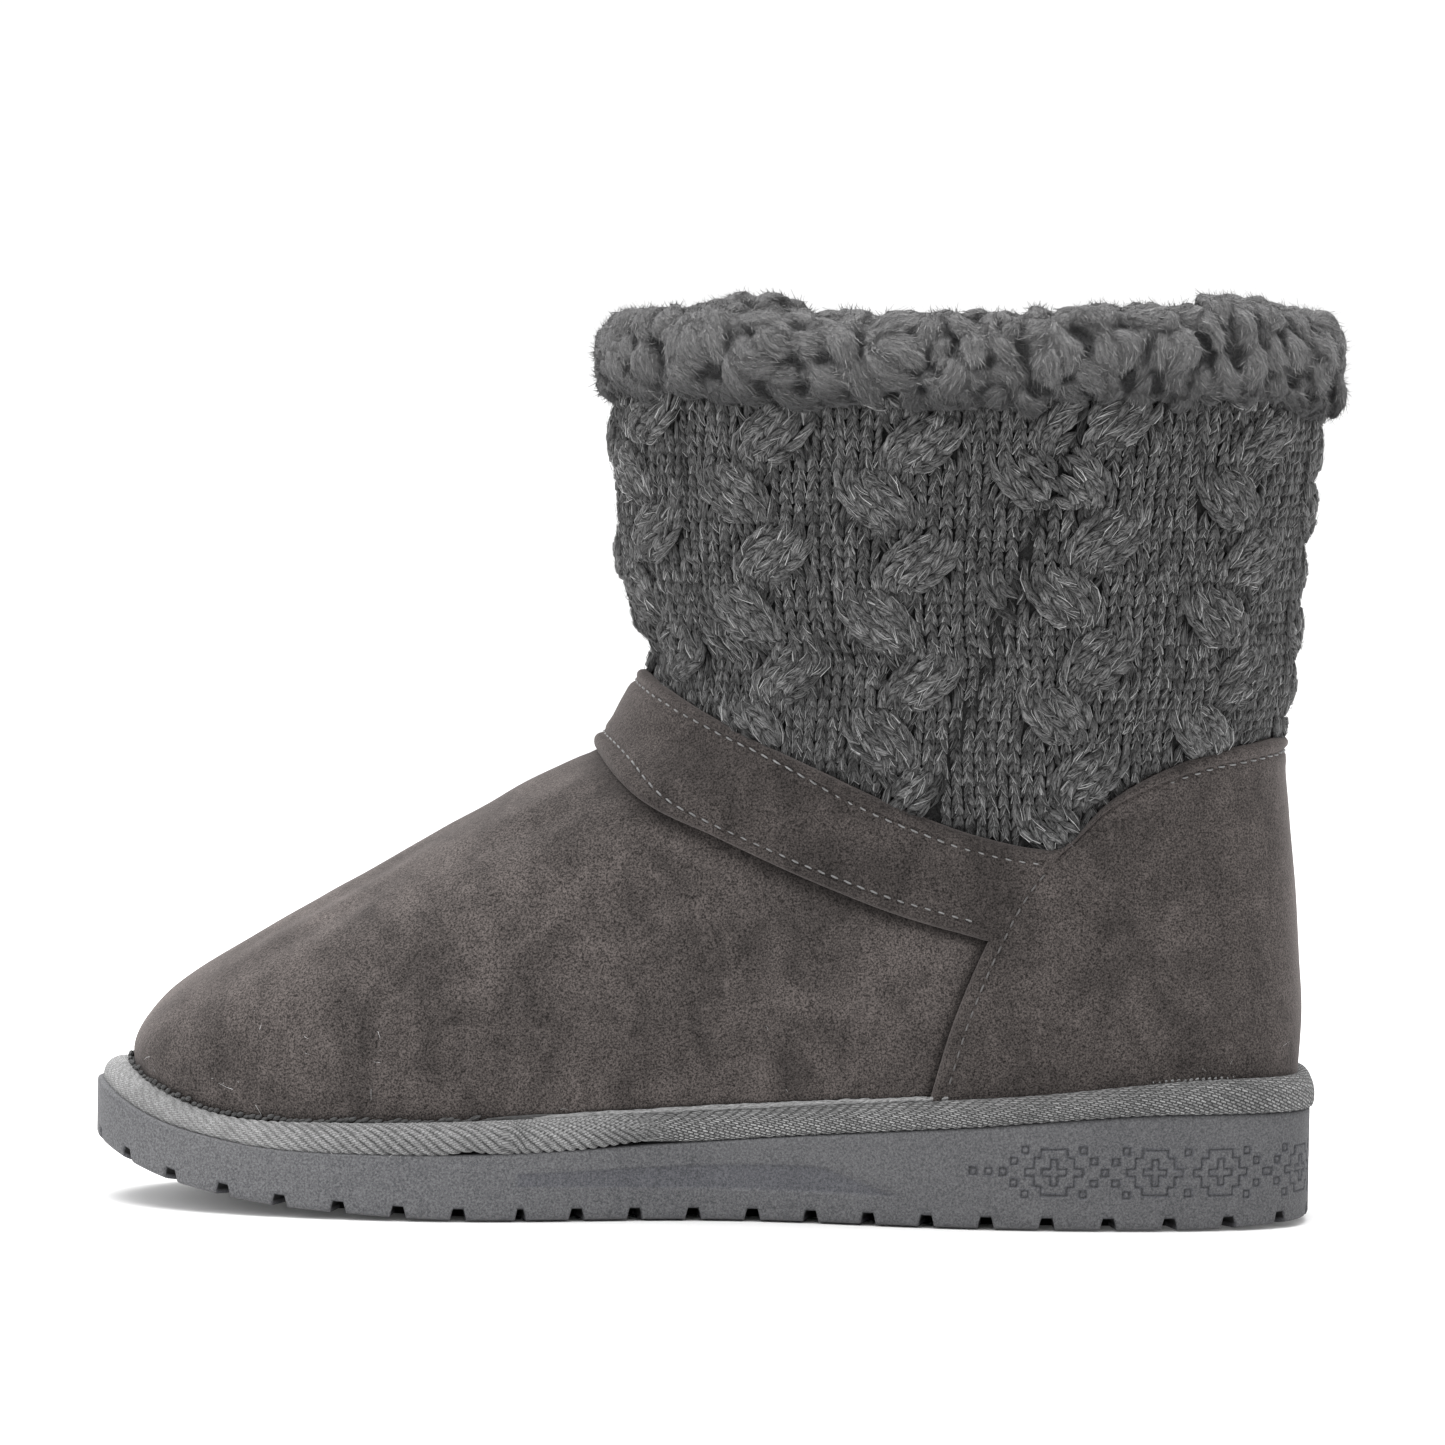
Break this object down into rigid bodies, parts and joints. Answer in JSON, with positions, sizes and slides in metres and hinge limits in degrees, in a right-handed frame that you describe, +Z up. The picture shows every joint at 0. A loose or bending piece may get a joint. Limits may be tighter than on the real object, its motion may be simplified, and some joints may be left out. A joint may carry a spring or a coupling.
{
  "type": "winter boot",
  "caption": "Right short pull-on winter boot with a brown-grey suede foot, charcoal cable knit shaft, curly pile cuff and grey notched sole.",
  "frame": {"origin": "on the floor, under the middle of the boot's bounding box", "axes": "+X from toe to heel, +Y from the medial side to the lateral side, +Z up"},
  "size_m": [0.2863, 0.1216, 0.2105],
  "materials": {
    "outsole": "matte moulded foam rubber",
    "platform": "twill tape",
    "insole": "short pile",
    "upper": "suede",
    "strap": "suede",
    "heel_counter": "suede",
    "knit_shaft": "cable knit in marled yarn",
    "fur_cuff": "deep curly pile"
  },
  "bodies": {
    "root": {"outsole": "outsole", "platform": "platform", "insole": "insole", "upper": "upper", "strap": "strap", "heel_counter": "heel_counter", "knit_shaft": "knit_shaft", "fur_cuff": "fur_cuff"}
  },
  "joints": []
}
